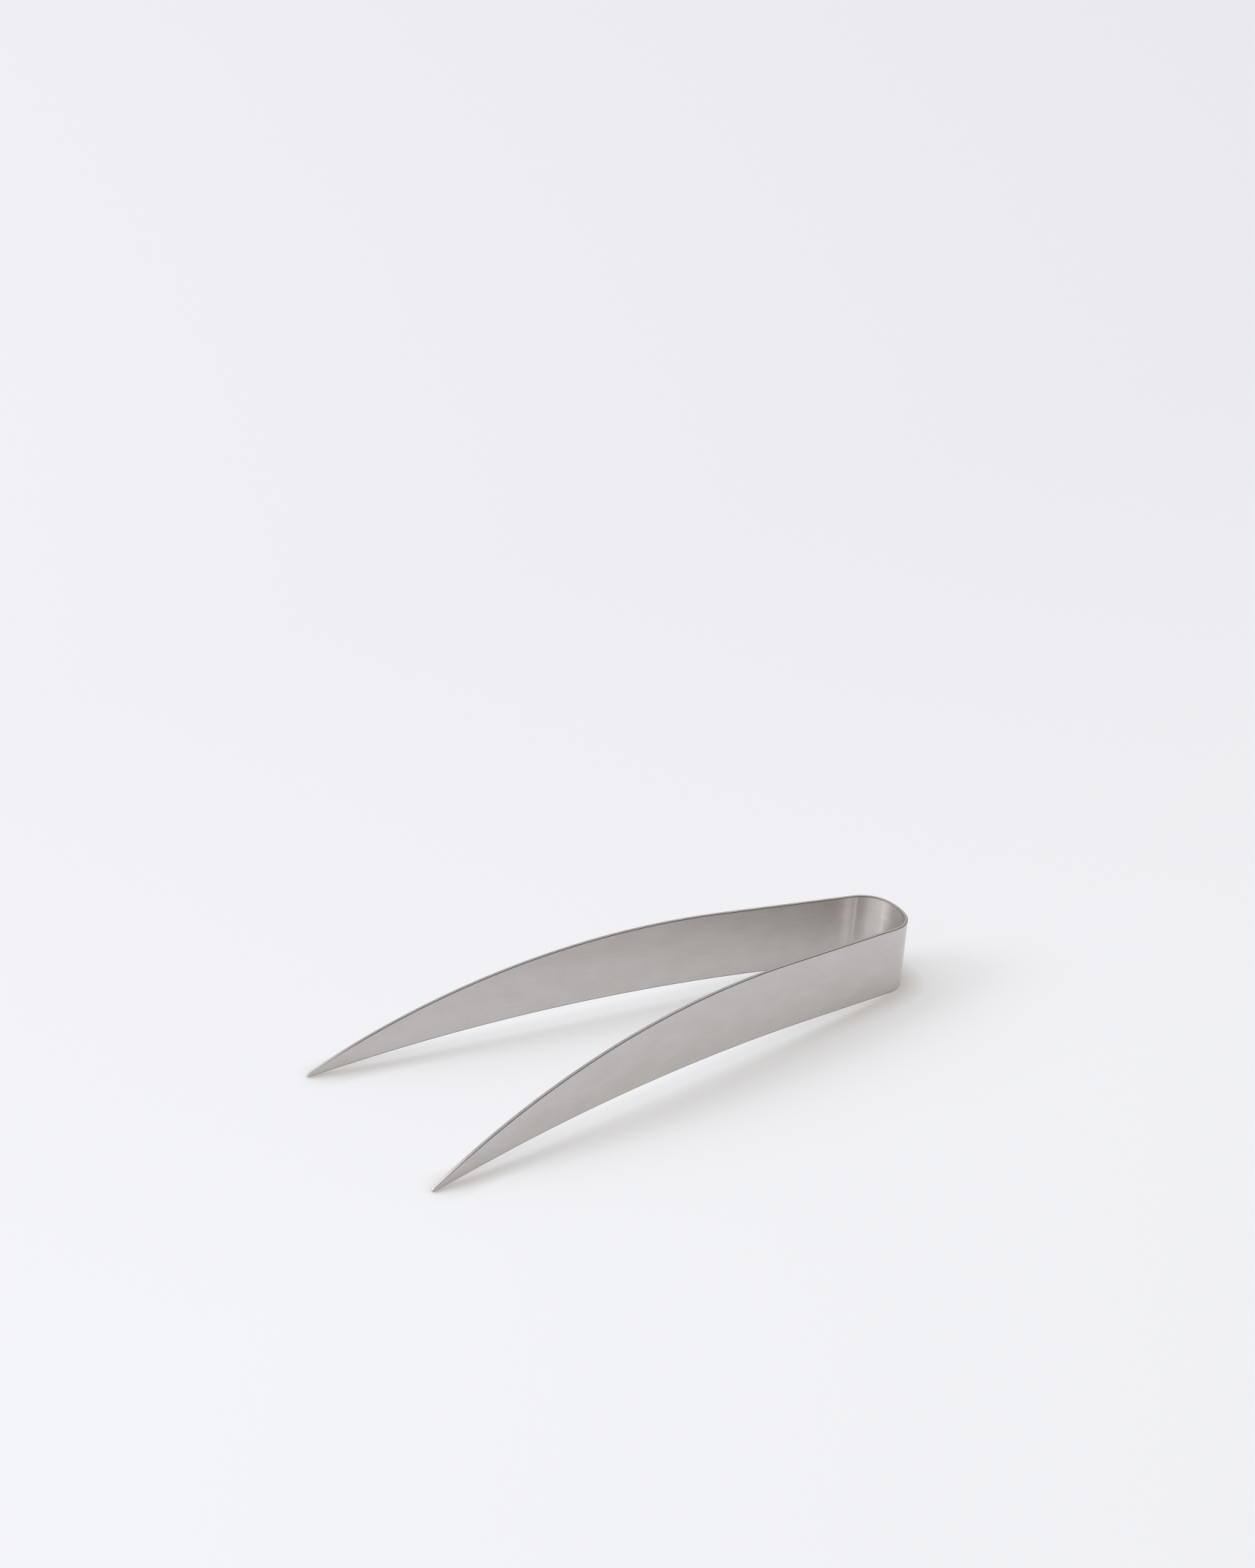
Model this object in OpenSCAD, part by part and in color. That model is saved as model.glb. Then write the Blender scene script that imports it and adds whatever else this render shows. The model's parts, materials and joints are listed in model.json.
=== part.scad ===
// Stamp tongs: one strip of spring steel, bent into a bow with two tapered arms.
// +X points at the bow, -X at the tips, +Z up. The origin is the middle of the
// footprint, on the surface that the tips and the bow's heel rest on.
// Strip coordinates: u runs towards the bow, v sideways, w across the strip.

/* [Strip] */
// Thickness of the steel strip
strip_t = 0.8; // [0.5:0.05:1.2]
// Width of the strip around the bow and at the roots of the arms
strip_w = 15; // [10:0.5:20]

/* [Bow] */
// Distance between the two arms where they leave the bow, at mid-thickness
bow_w = 15.7; // [13:0.1:20]
// Radius of the shallow crown at the back of the bow, at mid-thickness
crown_r = 12.3; // [10:0.1:20]
// Radius of the two corners that turn the strip forward, at mid-thickness
corner_r = 6.4; // [4:0.1:7.5]

/* [Arms] */
// Length of one arm along the strip, from the bow to the end of its tip
arm_len = 120.4; // [90:0.1:150]
// Angle of each arm away from the centre line when the tongs are open
arm_spread = 8.2; // [4:0.1:12]
// Distance from the root to where the upper edge starts to fall
upper_fall_start = 30.5; // [10:0.5:45]
// Distance from the root to where the lower edge starts to fall
lower_fall_start = 23.5; // [10:0.5:45]

/* [Tips] */
// How far the middle of the tip lies below the lower edge of the bow
tip_drop = 10.2; // [6:0.1:14]
// Width of the rounded tip, across the strip
tip_w = 0.85; // [0.6:0.05:3]

/* [Flexing line] */
// Gap all round the rolled knuckle where an arm swings on the bow
knuckle_gap = 0.03; // [0.01:0.01:0.1]

/* [Hidden] */
$fn = 256;

// Plan of the bow: the crown and corner arcs meet at this angle off the centre line.
corner_turn = 90 - arm_spread;
crown_half = asin((bow_w / 2 - corner_r * sin(corner_turn)) / (crown_r - corner_r));
corner_u = (crown_r - corner_r) * cos(crown_half) - crown_r;
corner_v = (crown_r - corner_r) * sin(crown_half);
root_u = corner_u + corner_r * cos(corner_turn);
root_v = bow_w / 2;

// Outline of an arm: both edges fall in one arc each and run into the round tip.
tip_r = tip_w / 2;
tip_s = arm_len - tip_r;
upper_run = tip_s - upper_fall_start;
upper_depth = strip_w + tip_drop;
upper_r = (upper_run ^ 2 + upper_depth ^ 2 - tip_r ^ 2) / (2 * (upper_depth - tip_r));
lower_run = tip_s - lower_fall_start;
lower_r = (lower_run ^ 2 + tip_drop ^ 2 - tip_r ^ 2) / (2 * (tip_drop + tip_r));
tip_centre = [tip_s, -tip_drop];
upper_centre = [upper_fall_start, strip_w - upper_r];
lower_centre = [lower_fall_start, -lower_r];
upper_touch = tip_centre + tip_r * unit(tip_centre - upper_centre);
lower_touch = tip_centre + tip_r * unit(lower_centre - tip_centre);
reach = 2 * arm_len;

// Stance: the strip tilts until the tips and the bow's heel share one level.
heel_u = strip_t / 2;
tip_u = root_u - tip_s * cos(arm_spread);
stand_u = heel_u - tip_u - heel_u * sin(arm_spread);
stand_len = norm([stand_u, tip_drop]);
tilt = atan2(tip_drop, stand_u) + asin(tip_r / stand_len);
lift = heel_u * sin(tilt);
back_x = heel_u * cos(tilt) + strip_w * sin(tilt);
tip_slope = norm([cos(tilt) * cos(arm_spread), sin(tilt)]);
front_u = tip_u - heel_u * sin(arm_spread);
front_x = front_u * cos(tilt) - tip_drop * sin(tilt) - tip_r * tip_slope;
middle_x = (back_x + front_x) / 2;

function unit(v) = v / norm(v);

// Puts what is drawn in strip coordinates in its place on the table.
module stance() {
    translate([-middle_x, 0, lift]) rotate([0, tilt, 0]) children();
}

// The corner arc's centre and its end at the root of an arm, on one side.
function corner(side) = [corner_u, side * corner_v];
function root(side) = [root_u, side * root_v];

// Solid plan of the bow, grown outwards from mid-thickness: a crown and two corners.
module bow_plan(grow) {
    intersection() {
        translate([-crown_r, 0]) circle(r = crown_r + grow);
        polygon([[-crown_r, 0], away(-1), away(1)]);
    }
    for (side = [-1, 1])
        translate(corner(side)) circle(r = corner_r + grow);
}

// A point far out on the line where the crown meets a corner.
function away(side) = [reach * cos(crown_half) - crown_r, side * reach * sin(crown_half)];

// Plan of the bent strip, cut off square at both roots and rolled to a round nose.
module bow_outline() {
    intersection() {
        difference() {
            bow_plan(strip_t / 2);
            bow_plan(-strip_t / 2);
        }
        polygon([corner(1), beyond(1), [reach, 0], beyond(-1), corner(-1)]);
    }
    for (side = [-1, 1])
        translate(root(side)) circle(d = strip_t);
}

// A point far out on the line across the strip at a root.
function beyond(side) = corner(side) + reach * unit(root(side) - corner(side));

// Everything below the upper edge.
module under_upper_edge() {
    translate([-reach, strip_w - reach]) square([reach + upper_fall_start, reach]);
    translate(upper_centre) circle(r = upper_r);
}

// Everything above the lower edge.
module over_lower_edge() {
    translate([-reach, 0]) square([2 * reach, reach]);
    difference() {
        translate([lower_fall_start, -reach]) square([reach, reach]);
        translate(lower_centre) circle(r = lower_r);
    }
}

// Flat outline of an arm, from its root at x = 0 to the tip, w upwards.
module arm_outline() {
    intersection() {
        under_upper_edge();
        over_lower_edge();
        polygon([[0, -reach], lower_touch, upper_touch, [0, reach]]);
    }
    translate(tip_centre) circle(r = tip_r);
}

// One arm: the flat blank stood on edge, hollowed at the root to clear the knuckle.
module arm(side) {
    stance()
        translate([root_u, side * root_v, 0])
            rotate([0, 0, 180 - side * arm_spread])
                difference() {
                    translate([0, strip_t / 2, 0])
                        rotate([90, 0, 0])
                            linear_extrude(strip_t) arm_outline();
                    translate([0, 0, -strip_w])
                        cylinder(r = strip_t / 2 + knuckle_gap, h = 3 * strip_w);
                }
}

module spring_bow() {
    color([0.72, 0.71, 0.7])
        stance()
            linear_extrude(strip_w) bow_outline();
}

module left_arm() {
    color([0.7, 0.69, 0.68]) arm(-1);
}

module right_arm() {
    color([0.7, 0.69, 0.68]) arm(1);
}

spring_bow();
left_arm();
right_arm();
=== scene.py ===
import json
import math

import bmesh
import bpy
from mathutils import Euler, Matrix, Vector


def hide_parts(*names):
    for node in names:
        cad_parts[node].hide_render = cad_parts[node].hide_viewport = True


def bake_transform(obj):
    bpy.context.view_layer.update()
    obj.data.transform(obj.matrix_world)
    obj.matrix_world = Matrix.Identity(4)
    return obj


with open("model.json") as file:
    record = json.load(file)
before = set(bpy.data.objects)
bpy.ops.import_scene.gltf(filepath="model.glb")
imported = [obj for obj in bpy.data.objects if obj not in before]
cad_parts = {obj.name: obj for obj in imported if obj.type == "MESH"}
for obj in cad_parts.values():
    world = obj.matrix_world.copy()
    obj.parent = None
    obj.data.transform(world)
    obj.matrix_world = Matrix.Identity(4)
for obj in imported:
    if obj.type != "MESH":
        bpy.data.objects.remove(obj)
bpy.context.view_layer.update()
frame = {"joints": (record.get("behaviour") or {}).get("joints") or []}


# ---------------------------------------------------------------------------
# The flat blank. The tongs are one leaf of stainless spring steel, blanked flat and then
# bent. Its edges are broken by tumbling, and each tip is ground a little thinner.
# ---------------------------------------------------------------------------

mm = 0.001
joints = {joint["name"]: joint for joint in frame["joints"]}
knuckle = joints["right_arm_squeeze"]

strip_thickness = 0.8 * mm
strip_width = 15.0 * mm
crown_radius = 12.3 * mm
corner_radius = 6.4 * mm
arm_spread = math.radians(8.2)
arm_length = 120.4 * mm
upper_fall_start = 30.5 * mm
lower_fall_start = 23.5 * mm
tip_drop = 10.2 * mm
tip_radius = 0.425 * mm

half_bow_width = knuckle["pos_m"][1]
corner_turn = math.pi / 2 - arm_spread
crown_reach = half_bow_width - corner_radius * math.sin(corner_turn)
crown_turn = math.asin(crown_reach / (crown_radius - corner_radius))
crown_length = crown_radius * crown_turn
corner_length = corner_radius * (corner_turn - crown_turn)
root_at = crown_length + corner_length

edge_break = 0.16 * mm
lower_break = 0.26 * mm
ground_edge = 0.14 * mm
ground_length = 13.0 * mm
nose_thickness = 0.62 * mm
nose_thinning = 5.0 * mm
nose_blunt = 0.45
break_limit = 0.49

corner_steps = 6
face_steps = 10
edge_steps = 3
guard_loop = 0.03 * mm
guard_limit = 0.2
no_length = 1e-9
finish_shift = 0.5


def falling_arc(run, depth, nose):
    """Radius of the arc that starts level and falls by depth to meet the round nose."""
    return (run ** 2 + depth ** 2 - tip_radius ** 2) / (2 * (depth - nose * tip_radius))


tip_run = arm_length - tip_radius
upper_run = tip_run - upper_fall_start
lower_run = tip_run - lower_fall_start
upper_arc = falling_arc(upper_run, strip_width + tip_drop, 1)
lower_arc = falling_arc(lower_run, tip_drop, -1)


def arc_height(level, radius, run):
    """Height of an edge that leaves its level in an arc and has run this far."""
    return level - radius + math.sqrt(radius ** 2 - max(run, 0.0) ** 2)


def blank_edges(arm_run):
    """Lower and upper edge of the blank at this distance from the root."""
    past_centre = arm_run - tip_run
    nose_slope = upper_run / upper_arc * tip_radius
    if past_centre < nose_slope:
        upper = arc_height(strip_width, upper_arc, arm_run - upper_fall_start)
    else:
        upper = math.sqrt(max(tip_radius ** 2 - past_centre ** 2, 0.0)) - tip_drop
    if past_centre < -lower_run / lower_arc * tip_radius:
        lower = arc_height(0.0, lower_arc, arm_run - lower_fall_start)
    else:
        lower = -math.sqrt(max(tip_radius ** 2 - past_centre ** 2, 0.0)) - tip_drop
    return lower, upper


def ease(value):
    """Smooth rise from 0 to 1."""
    value = min(max(value, 0.0), 1.0)
    return value * value * (3 - 2 * value)


def cross_section(arm_run):
    """Points round the strip: through it, across it, share of edge and share of rounding."""
    low, high = blank_edges(arm_run)
    to_tip = arm_length - arm_run
    thinning = ease(1 - to_tip / nose_thinning)
    half = (strip_thickness + (nose_thickness - strip_thickness) * thinning) / 2
    nose = math.sqrt(max(1 - (1 - min(to_tip / tip_radius, 1.0)) ** 2, 0.0))
    half *= nose_blunt + (1 - nose_blunt) * nose
    room = break_limit * min(high - low, 2 * half)
    grinding = ease(1 - to_tip / ground_length)
    upper_radius = min(edge_break + (ground_edge - edge_break) * grinding, room)
    lower_radius = min(lower_break, room)
    corners = [
        (half, high, upper_radius, 0.0),
        (-half, high, upper_radius, 90.0),
        (-half, low, lower_radius, 180.0),
        (half, low, lower_radius, 270.0),
    ]
    points = []
    for index, (side, level, radius, start) in enumerate(corners):
        centre_n = side - math.copysign(radius, side)
        centre_w = level - radius if level == high else level + radius
        for step in range(corner_steps + 1):
            angle = math.radians(start + 90.0 * step / corner_steps)
            rounding = math.sin(math.pi * step / corner_steps)
            through = centre_n + radius * math.cos(angle)
            across = centre_w + radius * math.sin(angle)
            points.append((through, across, 1.0, rounding))
        next_side, next_level, next_radius, next_start = corners[(index + 1) % 4]
        next_n = next_side - math.copysign(next_radius, next_side)
        next_w = next_level - next_radius if next_level == high else next_level + next_radius
        turn = math.radians(next_start)
        end_n = next_n + next_radius * math.cos(turn)
        end_w = next_w + next_radius * math.sin(turn)
        end = Vector((end_n, end_w))
        begin = Vector(points[-1][:2])
        steps = edge_steps if index % 2 == 0 else face_steps
        guard = min(guard_loop / max((end - begin).length, no_length), guard_limit)
        shares = [guard] + [step / steps for step in range(1, steps)] + [1 - guard]
        for share in shares:
            between = begin.lerp(end, share)
            points.append((between.x, between.y, 1.0 - index % 2, 0.0))
    return points


def blank_stations():
    """Distances along half the strip, from the middle of the crown to the end of the tip."""
    seam_ring = 0.01 * mm
    bend_step = 0.25 * mm
    arm_step = 0.9 * mm
    fine_length = 4.0 * mm
    fine_count = 24
    nose_rings = 14
    bend_count = math.ceil(root_at / bend_step)
    stations = [0.0, seam_ring]
    stations += [root_at * step / bend_count for step in range(1, bend_count + 1)]
    fine_from = tip_run - fine_length
    arm_count = math.ceil(fine_from / arm_step)
    stations += [root_at + fine_from * step / arm_count for step in range(1, arm_count + 1)]
    fine_run = tip_run - fine_from
    stations += [root_at + fine_from + fine_run * step / fine_count for step in range(1, fine_count + 1)]
    for ring in range(1, nose_rings):
        angle = math.pi / 2 * ring / nose_rings
        stations.append(root_at + tip_run + tip_radius * math.sin(angle))
    return stations


def flat_blank(name, side):
    """Half of the blank as a closed mesh: x along the strip, y through it, z across it."""
    shape = bmesh.new()
    uv = shape.loops.layers.uv.new("along_strip")
    on_edge = shape.verts.layers.float.new("edge_share")
    to_tip = shape.verts.layers.float.new("tip_share")
    rounded = shape.verts.layers.float.new("break_share")
    stations = blank_stations()
    rings = []
    for station in stations:
        ring = []
        for through, across, edge, rounding in cross_section(station - root_at):
            vertex = shape.verts.new((station, through, across))
            vertex[on_edge] = edge
            vertex[rounded] = rounding
            vertex[to_tip] = ease(1 - (root_at + arm_length - station) / ground_length)
            ring.append(vertex)
        rings.append(ring)
    count = len(rings[0])
    for ring, next_ring in zip(rings, rings[1:]):
        for k in range(count):
            after = (k + 1) % count
            face = shape.faces.new([ring[k], next_ring[k], next_ring[after], ring[after]])
            face.smooth = True
            for loop in face.loops:
                along, through, across = loop.vert.co
                loop[uv].uv = (side * along, across + finish_shift * through)
    shape.faces.new(reversed(rings[0]))
    shape.faces.new(rings[-1])
    bmesh.ops.recalc_face_normals(shape, faces=shape.faces)
    mesh = bpy.data.meshes.new(name)
    shape.to_mesh(mesh)
    shape.free()
    blank = bpy.data.objects.new(name, mesh)
    bpy.context.scene.collection.objects.link(blank)
    return blank


# ---------------------------------------------------------------------------
# The finish. The two flats are satin stainless steel, brushed along the strip before it is
# bent. The edges are tumbled and duller. Their darker colour is part tumbling and part painted
# shade, and a darker painted shade lies on their rounded breaks. Towards the ground tips the
# edges take the flats' colour, and the painted shade weakens.
# A grain is its cells per metre along the strip and across it, and its detail.
# ---------------------------------------------------------------------------

steel_colour = (0.69, 0.66, 0.642, 1.0)
steel_dark = (0.60, 0.568, 0.545, 1.0)
# Edge colours: the first is part tumbled dullness, part painted shade; the second is painted shade for
# the rounded breaks.
edge_tumble_and_shade = (0.37, 0.345, 0.32, 1.0)
painted_break_shade = (0.12, 0.105, 0.092, 1.0)

fine_grain = (120.0, 6000.0, 2.0)
broad_grain = (180.0, 2600.0, 3.0)
cloud_grain = (150.0, 260.0, 3.0)
mark_grain = (400.0, 4000.0, 3.0)
broad_share = 0.5
shade_range = (0.8, 1.7)
line_range = (0.6, 1.2)
mark_range = (0.3, 0.7)
flat_roughness = (0.28, 0.34)
edge_roughness = (0.38, 0.46)
brush_stretch = 0.93
brush_turn = 0.25
brush_strength = 0.08
brush_depth = 0.004 * mm
edge_stretch = 0.3
most_worn = 0.25
# Share of the painted break shade that is left at the tips.
tip_shade_left = 0.55


def steel_base(name):
    """A steel material with its tangent along the strip, and its parts to build on."""
    material = bpy.data.materials.new(name)
    material.use_nodes = True
    nodes = material.node_tree.nodes
    links = material.node_tree.links
    shader = nodes["Principled BSDF"]
    shader.inputs["Metallic"].default_value = 1.0
    place = nodes.new("ShaderNodeUVMap")
    place.uv_map = "along_strip"
    tangent = nodes.new("ShaderNodeTangent")
    tangent.direction_type = "UV_MAP"
    tangent.uv_map = "along_strip"
    links.new(tangent.outputs["Tangent"], shader.inputs["Tangent"])
    return material, nodes, links, shader, place


def streaks(nodes, links, place, per_metre_along, per_metre_across, detail):
    """Noise drawn out along the strip, as brushing leaves it."""
    stretch = nodes.new("ShaderNodeMapping")
    stretch.inputs["Scale"].default_value = (per_metre_along, per_metre_across, 1.0)
    noise = nodes.new("ShaderNodeTexNoise")
    noise.inputs["Scale"].default_value = 1.0
    noise.inputs["Detail"].default_value = detail
    links.new(place.outputs["UV"], stretch.inputs["Vector"])
    links.new(stretch.outputs["Vector"], noise.inputs["Vector"])
    return noise.outputs["Fac"]


def spread(nodes, links, source, low, high, new_low, new_high):
    """The source's values between low and high, laid between two new values."""
    ranged = nodes.new("ShaderNodeMapRange")
    ranged.inputs["From Min"].default_value = low
    ranged.inputs["From Max"].default_value = high
    ranged.inputs["To Min"].default_value = new_low
    ranged.inputs["To Max"].default_value = new_high
    links.new(source, ranged.inputs["Value"])
    return ranged.outputs["Result"]


def mixed_colour(nodes, links, share, first, second):
    """A colour between first and second, by share."""
    mix = nodes.new("ShaderNodeMix")
    mix.data_type = "RGBA"
    for socket, colour in ((mix.inputs["A"], first), (mix.inputs["B"], second)):
        if hasattr(colour, "links"):
            links.new(colour, socket)
        else:
            socket.default_value = colour
    links.new(share, mix.inputs["Factor"])
    return mix.outputs["Result"]


def add(nodes, links, first, second, operation="ADD"):
    """Two values joined by one sum or product."""
    node = nodes.new("ShaderNodeMath")
    node.operation = operation
    for socket, value in zip(node.inputs, (first, second)):
        if hasattr(value, "links"):
            links.new(value, socket)
        else:
            socket.default_value = value
    return node.outputs["Value"]


def brushed_steel():
    """The satin flats: fine lines along the strip, faint broad streaks and cloudy tint."""
    material, nodes, links, shader, place = steel_base("brushed_steel")
    fine = streaks(nodes, links, place, *fine_grain)
    broad = streaks(nodes, links, place, *broad_grain)
    cloud = streaks(nodes, links, place, *cloud_grain)
    lines = add(nodes, links, fine, add(nodes, links, broad, broad_share, "MULTIPLY"))
    shade = spread(nodes, links, add(nodes, links, lines, cloud), *shade_range, 0.0, 1.0)
    colour = mixed_colour(nodes, links, shade, steel_dark, steel_colour)
    links.new(colour, shader.inputs["Base Color"])
    roughness = spread(nodes, links, lines, *line_range, *flat_roughness)
    links.new(roughness, shader.inputs["Roughness"])
    shader.inputs["Anisotropic"].default_value = brush_stretch
    shader.inputs["Anisotropic Rotation"].default_value = brush_turn
    bump = nodes.new("ShaderNodeBump")
    bump.inputs["Strength"].default_value = brush_strength
    bump.inputs["Distance"].default_value = brush_depth
    links.new(lines, bump.inputs["Height"])
    links.new(bump.outputs["Normal"], shader.inputs["Normal"])
    return material


def edge_steel_and_shade():
    """The edges: dull, darker in part as painted shade, with a darker painted shade on the rounded
    breaks; at the tips they take the flats' colour and the painted shade weakens.
    """
    material, nodes, links, shader, place = steel_base("edge_steel_and_shade")
    marks = streaks(nodes, links, place, *mark_grain)
    tip = nodes.new("ShaderNodeAttribute")
    tip.attribute_name = "tip_share"
    rounding = nodes.new("ShaderNodeAttribute")
    rounding.attribute_name = "break_share"
    worn = spread(nodes, links, marks, *mark_range, 0.0, most_worn)
    ground = mixed_colour(nodes, links, worn, edge_tumble_and_shade, steel_colour)
    bright = mixed_colour(nodes, links, tip.outputs["Fac"], ground, steel_colour)
    # Painted shade on the rounded breaks, weaker towards the tips.
    kept_shade = spread(nodes, links, tip.outputs["Fac"], 0.0, 1.0, 1.0, tip_shade_left)
    painted_shade_share = add(nodes, links, rounding.outputs["Fac"], kept_shade, "MULTIPLY")
    broken = mixed_colour(nodes, links, painted_shade_share, bright, painted_break_shade)
    links.new(broken, shader.inputs["Base Color"])
    roughness = spread(nodes, links, marks, *mark_range, *edge_roughness)
    links.new(roughness, shader.inputs["Roughness"])
    shader.inputs["Anisotropic"].default_value = edge_stretch
    return material


# ---------------------------------------------------------------------------
# The bend. A press wraps the blank round a former: a shallow crown at the back, a tighter
# corner on each side, and two straight arms that spread apart. Nothing else holds it.
# ---------------------------------------------------------------------------

edge_threshold = 0.75


def calc(tree, operation, *terms):
    """One step of arithmetic in a node tree; a term is a socket or a number."""
    node = tree.nodes.new("ShaderNodeMath")
    node.operation = operation
    for socket, term in zip(node.inputs, terms):
        if hasattr(term, "links"):
            tree.links.new(term, socket)
        else:
            socket.default_value = term
    return node.outputs[0]


def former_tree(flat_finish, edge_finish):
    """Node tree that wraps a flat blank round the bow's former and stands it on its tips."""
    tree = bpy.data.node_groups.new("wrap_round_former", "GeometryNodeTree")
    tree.interface.new_socket("Geometry", in_out="INPUT", socket_type="NodeSocketGeometry")
    names = ["Crown Radius", "Crown Turn", "Corner Radius", "Corner Turn", "Side", "Tilt"]
    for name in names:
        tree.interface.new_socket(name, in_out="INPUT", socket_type="NodeSocketFloat")
    tree.interface.new_socket("Stance", in_out="INPUT", socket_type="NodeSocketVector")
    tree.interface.new_socket("Geometry", in_out="OUTPUT", socket_type="NodeSocketGeometry")
    entry = tree.nodes.new("NodeGroupInput").outputs
    crown_r, crown_phi, corner_r, corner_phi, side, tilt = [entry[name] for name in names]
    position = tree.nodes.new("GeometryNodeInputPosition")
    split = tree.nodes.new("ShaderNodeSeparateXYZ")
    tree.links.new(position.outputs[0], split.inputs[0])
    along, through, across = split.outputs

    crown_len = calc(tree, "MULTIPLY", crown_r, crown_phi)
    corner_len = calc(tree, "MULTIPLY", corner_r, calc(tree, "SUBTRACT", corner_phi, crown_phi))
    phi_crown = calc(tree, "DIVIDE", calc(tree, "MINIMUM", along, crown_len), crown_r)
    past_crown = calc(tree, "MAXIMUM", calc(tree, "SUBTRACT", along, crown_len), 0.0)
    in_corner = calc(tree, "MINIMUM", past_crown, corner_len)
    phi = calc(tree, "ADD", phi_crown, calc(tree, "DIVIDE", in_corner, corner_r))
    run = calc(tree, "SUBTRACT", past_crown, in_corner)
    inset = calc(tree, "SUBTRACT", crown_r, corner_r)
    reach = calc(tree, "ADD", corner_r, through)

    forward = calc(tree, "MULTIPLY", inset, calc(tree, "COSINE", phi_crown))
    forward = calc(tree, "ADD", forward, calc(tree, "MULTIPLY", reach, calc(tree, "COSINE", phi)))
    forward = calc(tree, "SUBTRACT", forward, calc(tree, "MULTIPLY", run, calc(tree, "SINE", phi)))
    forward = calc(tree, "SUBTRACT", forward, crown_r)
    aside = calc(tree, "MULTIPLY", inset, calc(tree, "SINE", phi_crown))
    aside = calc(tree, "ADD", aside, calc(tree, "MULTIPLY", reach, calc(tree, "SINE", phi)))
    aside = calc(tree, "ADD", aside, calc(tree, "MULTIPLY", run, calc(tree, "COSINE", phi)))
    aside = calc(tree, "MULTIPLY", aside, side)

    bent = tree.nodes.new("ShaderNodeCombineXYZ")
    for socket, value in zip(bent.inputs, (forward, aside, across)):
        tree.links.new(value, socket)
    tilted = tree.nodes.new("ShaderNodeVectorRotate")
    tilted.rotation_type = "Y_AXIS"
    tree.links.new(bent.outputs[0], tilted.inputs["Vector"])
    tree.links.new(tilt, tilted.inputs["Angle"])
    stood = tree.nodes.new("ShaderNodeVectorMath")
    stood.operation = "ADD"
    tree.links.new(tilted.outputs[0], stood.inputs[0])
    tree.links.new(entry["Stance"], stood.inputs[1])
    place = tree.nodes.new("GeometryNodeSetPosition")
    tree.links.new(entry["Geometry"], place.inputs["Geometry"])
    tree.links.new(stood.outputs[0], place.inputs["Position"])

    real = tree.nodes.new("GeometryNodeRealizeInstances")
    tree.links.new(place.outputs[0], real.inputs[0])
    edge_share = tree.nodes.new("GeometryNodeInputNamedAttribute")
    edge_share.data_type = "FLOAT"
    edge_share.inputs["Name"].default_value = "edge_share"
    on_edge = tree.nodes.new("FunctionNodeCompare")
    on_edge.data_type = "FLOAT"
    on_edge.operation = "GREATER_THAN"
    tree.links.new(edge_share.outputs["Attribute"], on_edge.inputs[0])
    on_edge.inputs[1].default_value = edge_threshold
    flats = tree.nodes.new("GeometryNodeSetMaterial")
    flats.inputs["Material"].default_value = flat_finish
    tree.links.new(real.outputs[0], flats.inputs["Geometry"])
    edges = tree.nodes.new("GeometryNodeSetMaterial")
    edges.inputs["Material"].default_value = edge_finish
    tree.links.new(flats.outputs[0], edges.inputs["Geometry"])
    tree.links.new(on_edge.outputs["Result"], edges.inputs["Selection"])
    leave = tree.nodes.new("NodeGroupOutput")
    tree.links.new(edges.outputs[0], leave.inputs["Geometry"])
    return tree


def bend_blank(blank, tree, side, tilt, stance):
    """Bends the blank with the tree and returns it as a plain mesh object."""
    values = {
        "Crown Radius": crown_radius,
        "Crown Turn": crown_turn,
        "Corner Radius": corner_radius,
        "Corner Turn": corner_turn,
        "Side": float(side),
        "Tilt": tilt,
        "Stance": stance,
    }
    bend = blank.modifiers.new("bend", "NODES")
    bend.node_group = tree
    for item in tree.interface.items_tree:
        if item.in_out == "INPUT" and item.name in values:
            bend[item.identifier] = values[item.name]
    bpy.context.view_layer.update()
    depsgraph = bpy.context.evaluated_depsgraph_get()
    baked = bpy.data.meshes.new_from_object(blank.evaluated_get(depsgraph))
    blank.modifiers.remove(bend)
    blank.data = baked
    shape = bmesh.new()
    shape.from_mesh(baked)
    bmesh.ops.recalc_face_normals(shape, faces=shape.faces)
    shape.to_mesh(baked)
    shape.free()
    return blank


# ---------------------------------------------------------------------------
# The two sides of the strip. They meet at the middle of the crown as one piece of steel.
# The steel flexes from the crown to the root of each arm; each side is built here at rest
# and takes the place of its arm and the bow.
# ---------------------------------------------------------------------------


tilt_axis = Vector(knuckle["axis"])
stance_tilt = math.atan2(tilt_axis.x, tilt_axis.z)
corner_inset = (crown_radius - corner_radius) * math.cos(crown_turn)
root_forward = corner_inset + corner_radius * math.cos(corner_turn) - crown_radius
root_flat = Vector((root_forward, half_bow_width, strip_width / 2))
stance = Vector(knuckle["pos_m"]) - Matrix.Rotation(stance_tilt, 3, "Y") @ root_flat

flat_finish = brushed_steel()
edge_finish = edge_steel_and_shade()
former = former_tree(flat_finish, edge_finish)

for side, arm in ((1, "right_arm"), (-1, "left_arm")):
    half_strip = flat_blank(arm.replace("arm", "strip"), side)
    bend_blank(half_strip, former, side, stance_tilt, stance)
    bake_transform(half_strip)
    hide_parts(arm, "spring_bow")


# ---------------------------------------------------------------------------
# The table. A wide pale sheet, matt and plain, with painted light making it a little paler
# towards the near side. It glows warm as painted light, which keeps its shadows faint, and
# painted shade darkens it where it is close under the steel.
# ---------------------------------------------------------------------------

floor_size = 12.0
floor_gap = 0.02 * mm
# Painted light: the floor's colour grows paler from far to near.
floor_near = (0.270, 0.290, 0.328, 1.0)
floor_far = (0.245, 0.261, 0.306, 1.0)
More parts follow.
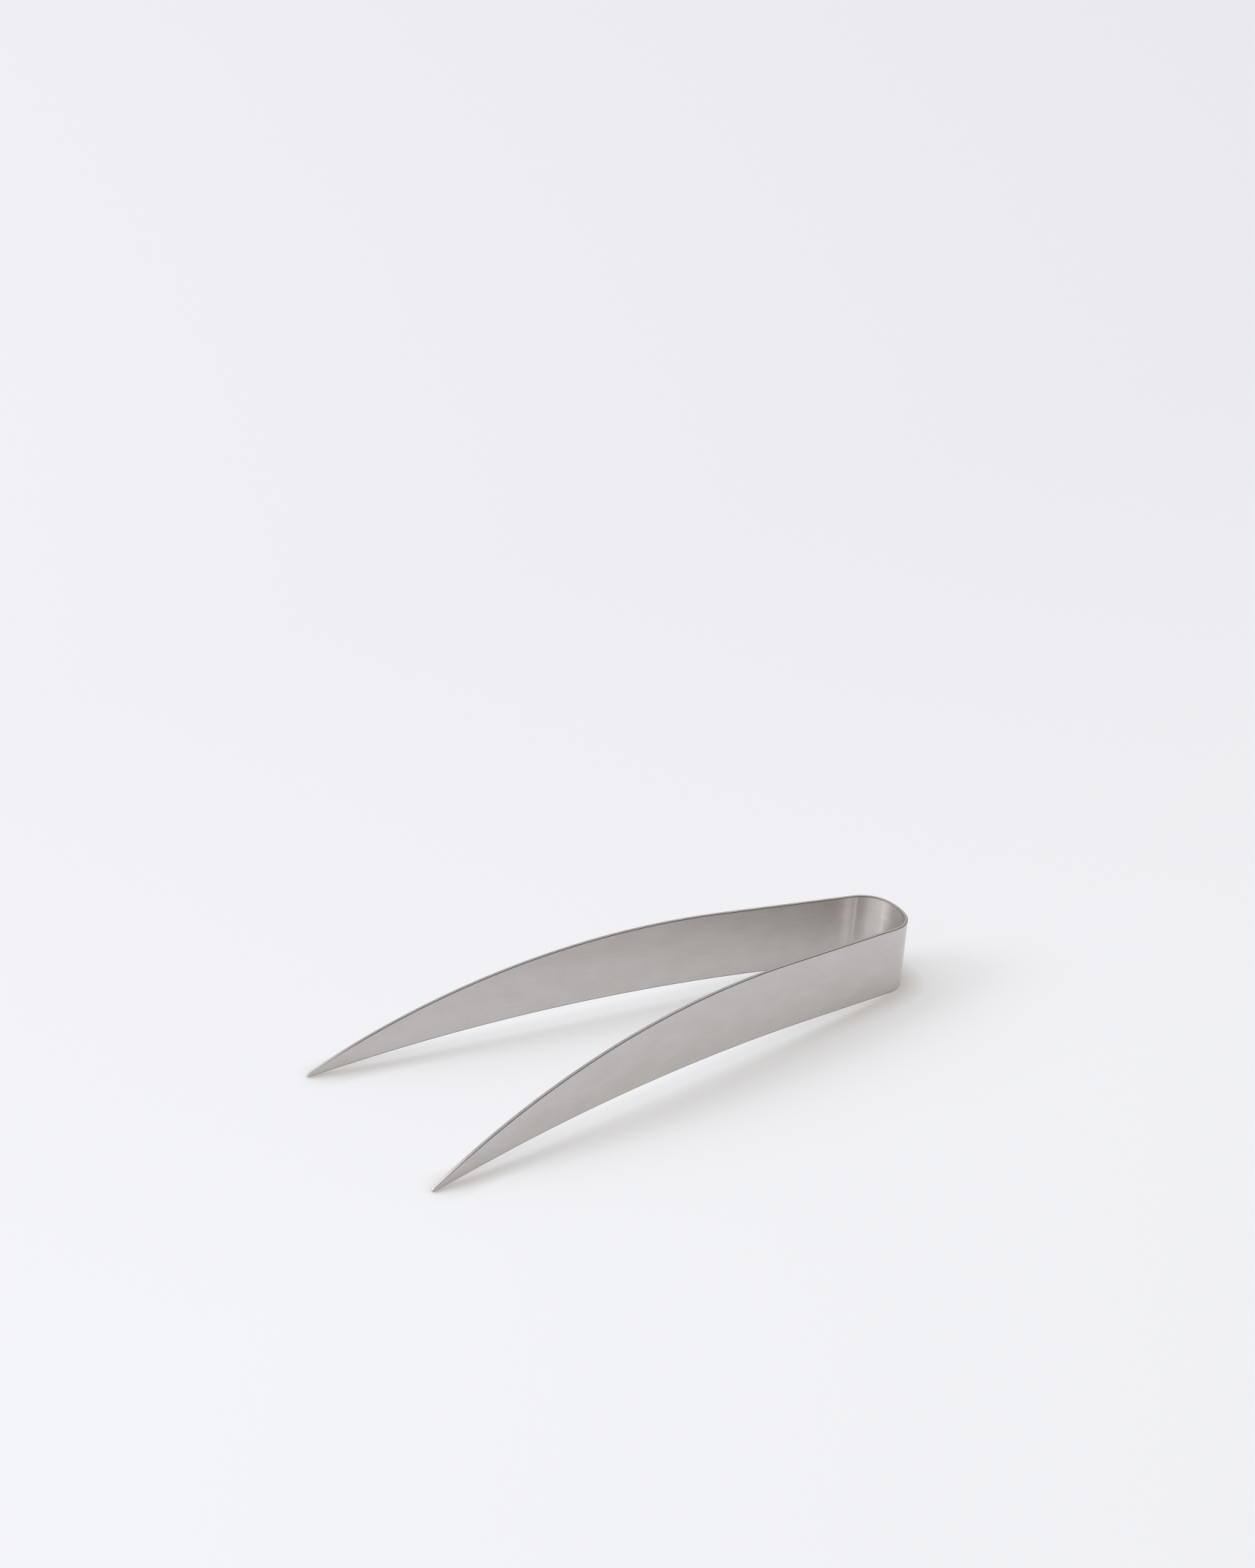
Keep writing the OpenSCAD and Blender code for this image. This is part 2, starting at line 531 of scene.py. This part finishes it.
# Painted light: the floor glows warm, though it is no lamp.
floor_glow = (0.468, 0.441, 0.408, 1.0)
painted_contact_shade = (0.02, 0.02, 0.02, 1.0)
contact_reach = 5.5 * mm
contact_samples = 8
fade_range = (-0.05, 0.20)
open_range = (0.5, 1.0)
floor_roughness = 0.9
floor_sheen = 0.1

bpy.ops.mesh.primitive_plane_add(size=floor_size, location=(0.0, 0.0, -floor_gap))
floor = bpy.context.object
floor.name = "floor"
floor_paint = bpy.data.materials.new("floor_paint")
floor_paint.use_nodes = True
floor_nodes = floor_paint.node_tree.nodes
floor_links = floor_paint.node_tree.links
floor_place = floor_nodes.new("ShaderNodeTexCoord")
floor_split = floor_nodes.new("ShaderNodeSeparateXYZ")
floor_links.new(floor_place.outputs["Object"], floor_split.inputs[0])
painted_falloff_share = spread(floor_nodes, floor_links, floor_split.outputs["Y"], *fade_range, 0.0, 1.0)
floor_colour = mixed_colour(floor_nodes, floor_links, painted_falloff_share, floor_near, floor_far)
floor_shader = floor_nodes["Principled BSDF"]
# Painted shade: close under the steel the floor's colour darkens towards the contact shade.
contact = floor_nodes.new("ShaderNodeAmbientOcclusion")
contact.inputs["Distance"].default_value = contact_reach
contact.samples = contact_samples
open_share = spread(floor_nodes, floor_links, contact.outputs["AO"], *open_range, 0.0, 1.0)
floor_shade = mixed_colour(floor_nodes, floor_links, open_share, painted_contact_shade, floor_colour)
floor_links.new(floor_shade, floor_shader.inputs["Base Color"])
floor_shader.inputs["Roughness"].default_value = floor_roughness
# Painted light: the floor's own glow.
floor_shader.inputs["Emission Color"].default_value = floor_glow
floor_shader.inputs["Emission Strength"].default_value = 1.0
floor_shader.inputs["Specular IOR Level"].default_value = floor_sheen
floor.data.materials.append(floor_paint)


# ---------------------------------------------------------------------------
# The light. A very large soft panel is high at the back left and stays out of reflections. A
# smaller one, lower at the left, lights the inside of the bow. The room is pale, and dimmer
# towards the front right and overhead.
# ---------------------------------------------------------------------------

high_place = (-0.70, 0.78, 1.82)
high_size = 2.5
high_power = 37.0
left_place = (-1.555, 0.628, 1.089)
left_size = 0.8
left_power = 22.0


def soft_panel(name, place, size, power):
    """A square soft light at place, turned to the tongs."""
    lamp = bpy.data.lights.new(name, "AREA")
    lamp.shape = "SQUARE"
    lamp.size = size
    lamp.energy = power
    panel = bpy.data.objects.new(name, lamp)
    panel.location = place
    panel.rotation_euler = (-Vector(place)).to_track_quat("-Z", "Y").to_euler()
    bpy.context.scene.collection.objects.link(panel)
    return panel


high_panel = soft_panel("high_panel", high_place, high_size, high_power)
high_panel.visible_glossy = False
soft_panel("left_panel", left_place, left_size, left_power)

room_pale = (0.96, 0.965, 0.985, 1.0)
room_dim = (0.45, 0.445, 0.44, 1.0)
dim_side = Vector((0.30, -0.75, 0.60)).normalized()
dim_range = (0.35, 0.85)

room = bpy.data.worlds.new("studio_room")
bpy.context.scene.world = room
room.use_nodes = True
room_nodes = room.node_tree.nodes
room_links = room.node_tree.links
room_way = room_nodes.new("ShaderNodeTexCoord")
toward_dim = room_nodes.new("ShaderNodeVectorMath")
toward_dim.operation = "DOT_PRODUCT"
toward_dim.inputs[1].default_value = dim_side
room_links.new(room_way.outputs["Generated"], toward_dim.inputs[0])
dim_share = spread(room_nodes, room_links, toward_dim.outputs["Value"], *dim_range, 0.0, 1.0)
room_colour = mixed_colour(room_nodes, room_links, dim_share, room_pale, room_dim)
room_links.new(room_colour, room_nodes["Background"].inputs["Color"])
room_nodes["Background"].inputs["Strength"].default_value = 1.0


# ---------------------------------------------------------------------------
# The camera. A long lens looks down at the tongs from the front left, so that both arms and
# the inside of the bow are seen.
# ---------------------------------------------------------------------------

camera_place = (-0.55812, -0.87195, 0.62773)
camera_heading = math.radians(32.444)
camera_dip = math.radians(28.671)
camera_roll = math.radians(0.934)
camera_lens = 136.10
film_width = 36.0

lens = bpy.data.cameras.new("camera")
lens.sensor_width = film_width
lens.lens = camera_lens
camera = bpy.data.objects.new("camera", lens)
bpy.context.scene.collection.objects.link(camera)
looking = Euler((math.pi / 2 - camera_dip, 0.0, -camera_heading)).to_matrix().to_4x4()
camera.matrix_world = Matrix.Translation(camera_place) @ looking @ Matrix.Rotation(camera_roll, 4, "Z")
bpy.context.scene.camera = camera
bpy.context.scene.view_settings.view_transform = "Standard"
